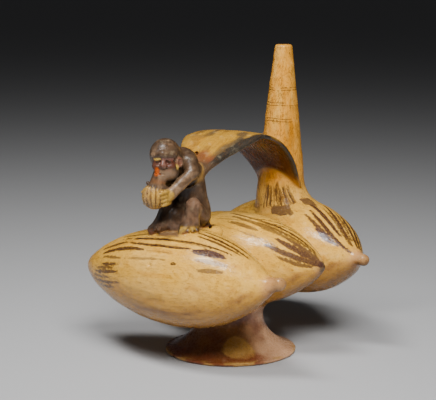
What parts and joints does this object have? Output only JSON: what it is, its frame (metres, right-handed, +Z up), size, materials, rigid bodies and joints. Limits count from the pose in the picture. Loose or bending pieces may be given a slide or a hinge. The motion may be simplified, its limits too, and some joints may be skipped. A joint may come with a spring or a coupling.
{
  "type": "effigy bottle with spout and strap handle",
  "caption": "Fired clay bottle of fused fruits on a flared foot, with a tapering spout, a strap handle and a seated monkey eating.",
  "frame": {"origin": "middle of the bottom of the bounding box, on the surface that the foot stands on", "axes": "+Z up along the spout; the fruits lie along X with their nipples towards +X; the row of fruits runs along Y with the monkey at -Y and the spout at +Y"},
  "size_m": [0.1654, 0.1824, 0.2001],
  "materials": {
    "painted_clay": "burnished cream and orange slip with brown resist-painted stripes, dark brown figure, worn and slightly glossy"
  },
  "bodies": {
    "root": {"vessel": "painted_clay"}
  },
  "joints": []
}
